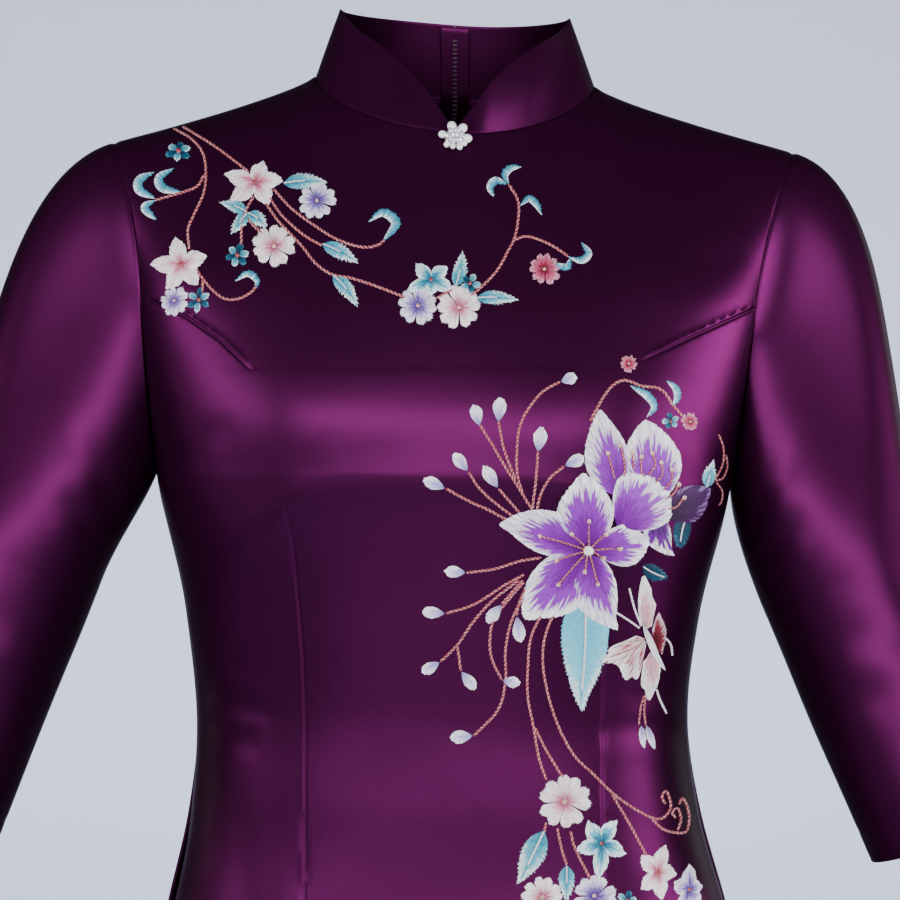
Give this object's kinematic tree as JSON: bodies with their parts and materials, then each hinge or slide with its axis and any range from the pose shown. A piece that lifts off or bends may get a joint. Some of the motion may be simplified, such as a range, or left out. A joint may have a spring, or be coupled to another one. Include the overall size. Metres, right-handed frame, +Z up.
{
  "type": "cheongsam dress",
  "caption": "Close-fitting satin cheongsam with a stand collar cut away at the front, darted bodice, three-quarter sleeves, side slits and an embroidered front.",
  "frame": {"origin": "midway between the two points where the collar meets the shoulder seams, where the wearer's shoulders carry the dress", "axes": "+Z up, the front of the dress faces -Y, the wearer's left is +X"},
  "size_m": [0.6546, 0.253, 1.0803],
  "materials": {
    "satin": "plum purple heavy satin with a soft directional sheen and a fine twill grain",
    "pearl": "glossy white pearls in a bright silver setting",
    "zip_metal": "satin enamel on die-cast metal in the colour of the cloth",
    "embroidery": "glossy satin-stitch thread in white, lilac, purple, pink, coral and blue"
  },
  "bodies": {
    "dress": {"front_bodice": "satin", "front_skirt": "satin", "back_left_bodice": "satin", "back_left_skirt": "satin", "back_right_bodice": "satin", "back_right_skirt": "satin", "sleeve_left": "satin", "sleeve_right": "satin", "collar_left": "satin", "collar_right": "satin", "brooch": "pearl", "zip_slider": "zip_metal"},
    "zip_pull": {"zip_pull": "zip_metal"}
  },
  "joints": [
    {"name": "pull_swing", "type": "hinge", "parent": "dress", "child": "zip_pull", "pos_m": [0, 0.05532, 0.03019], "axis": [1, 0, 0], "range_deg": [0, 150]}
  ]
}
